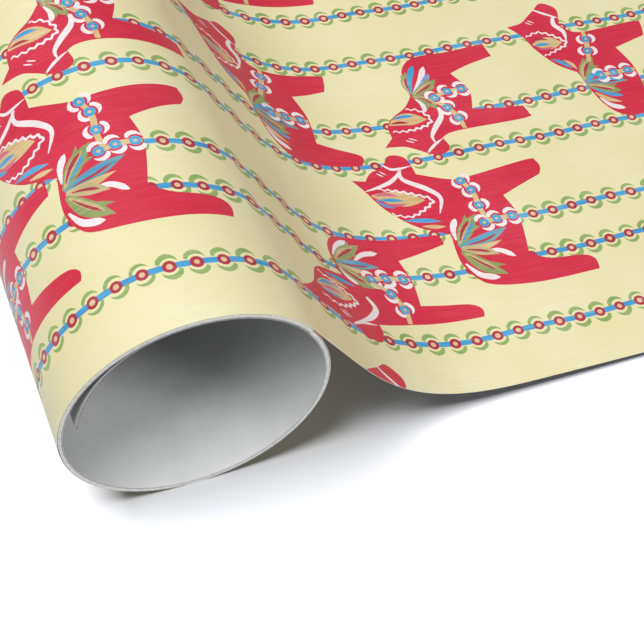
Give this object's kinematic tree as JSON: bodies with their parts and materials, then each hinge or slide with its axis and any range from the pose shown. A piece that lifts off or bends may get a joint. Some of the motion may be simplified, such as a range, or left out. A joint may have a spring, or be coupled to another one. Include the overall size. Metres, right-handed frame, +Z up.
{
  "type": "gift wrap roll",
  "caption": "Coreless roll of printed gift wrap, partly unrolled: the sheet leaves the roll's upper side, slopes down and lies flat.",
  "frame": {"origin": "under the middle of the whole object, on the surface that it lies on", "axes": "+X along the laid sheet from the roll to the sheet's free edge, +Y along the roll's axis, +Z up"},
  "size_m": [0.5666, 0.762, 0.0747],
  "materials": {
    "printed_paper": "uncoated white paper printed on its outer face, satin ink on a cream ground"
  },
  "bodies": {
    "root": {"inner_end": "printed_paper", "inner_turn": "printed_paper", "middle_turn_1": "printed_paper", "middle_turn_2": "printed_paper", "outer_turn": "printed_paper", "lead_out_slope": "printed_paper", "lead_out_sweep": "printed_paper", "lead_out_tail": "printed_paper", "laid_sheet": "printed_paper", "free_end": "printed_paper"}
  },
  "joints": []
}
